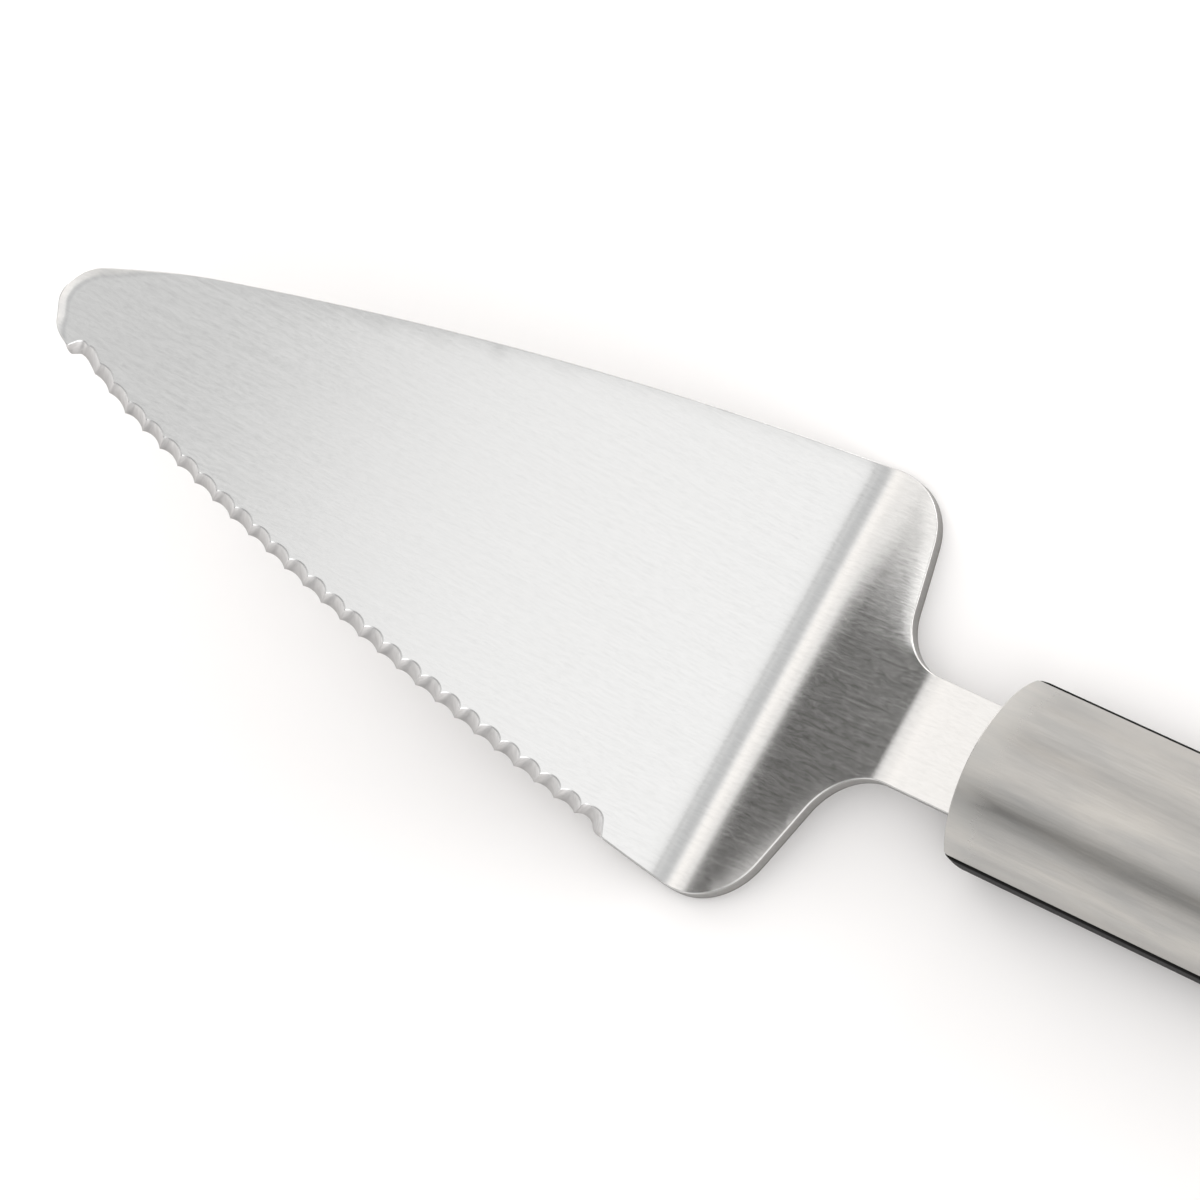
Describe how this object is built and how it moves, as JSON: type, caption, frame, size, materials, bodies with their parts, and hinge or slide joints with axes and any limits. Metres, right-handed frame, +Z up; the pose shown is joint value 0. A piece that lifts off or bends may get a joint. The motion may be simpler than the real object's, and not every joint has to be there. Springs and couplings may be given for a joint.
{
  "type": "cake server",
  "caption": "Offset cake server: pointed steel serving blade with a scalloped cutting edge on one side, and a steel-faced handle with a black side band and a hanging hole.",
  "frame": {"origin": "on the table, under the middle of the whole object's box, as it rests on the heel bend and the handle with the tip raised", "axes": "+X from the blade's tip towards the handle's end, +Z up from the table, +Y to the plain side of the blade; the scalloped cutting edge is on the -Y side"},
  "size_m": [0.2688, 0.0632, 0.0413],
  "materials": {
    "blade_steel": "bright satin, fine grain along the blade",
    "cover_steel": "grey satin with faint cloudy streaks along the handle",
    "pin_steel": "plain turned",
    "band_black": "matt moulded soft grip",
    "core_nylon": "as moulded",
    "liner_black": "satin moulded"
  },
  "bodies": {
    "root": {"blade": "blade_steel", "tang_pins": "pin_steel", "handle_core": "core_nylon", "grip_band": "band_black", "upper_cover": "cover_steel", "lower_cover": "cover_steel", "hanging_liner": "liner_black"}
  },
  "joints": []
}
